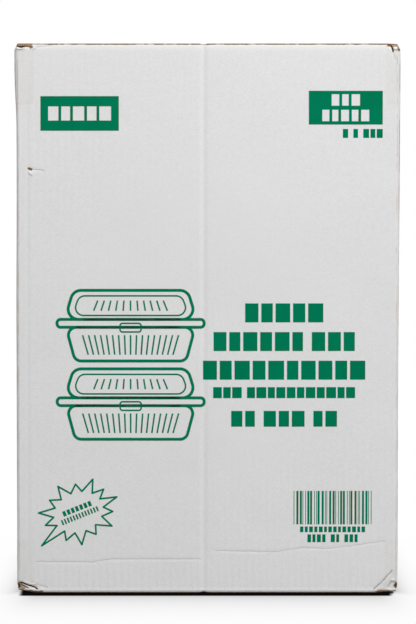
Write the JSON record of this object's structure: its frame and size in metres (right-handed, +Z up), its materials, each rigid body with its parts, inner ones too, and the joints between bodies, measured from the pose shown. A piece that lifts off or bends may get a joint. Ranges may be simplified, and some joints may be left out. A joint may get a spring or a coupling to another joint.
{
  "type": "corrugated shipping carton",
  "caption": "Tall sealed corrugated shipping carton with taped edges, white face, plain green block print and worn corners.",
  "frame": {"origin": "middle of the base, on the surface that the carton stands on", "axes": "+Z up, printed front panel faces -Y, +X to the right of someone facing it"},
  "size_m": [0.4354, 0.3202, 0.6254],
  "materials": {
    "white_board": "matte bleached liner over kraft fluting",
    "tape": "clear glossy film",
    "green_ink": "matte flexographic ink"
  },
  "bodies": {
    "root": {"carton": "white_board", "top_seam_tape": "tape", "top_left_edge_tape": "tape", "top_right_edge_tape": "tape", "bottom_seam_tape": "tape", "bottom_left_edge_tape": "tape", "bottom_right_edge_tape": "tape", "left_label_print": "green_ink", "right_label_print": "green_ink", "title_print": "green_ink", "bar_pattern_print": "green_ink", "drawing_print": "green_ink", "star_print": "green_ink"}
  },
  "joints": []
}
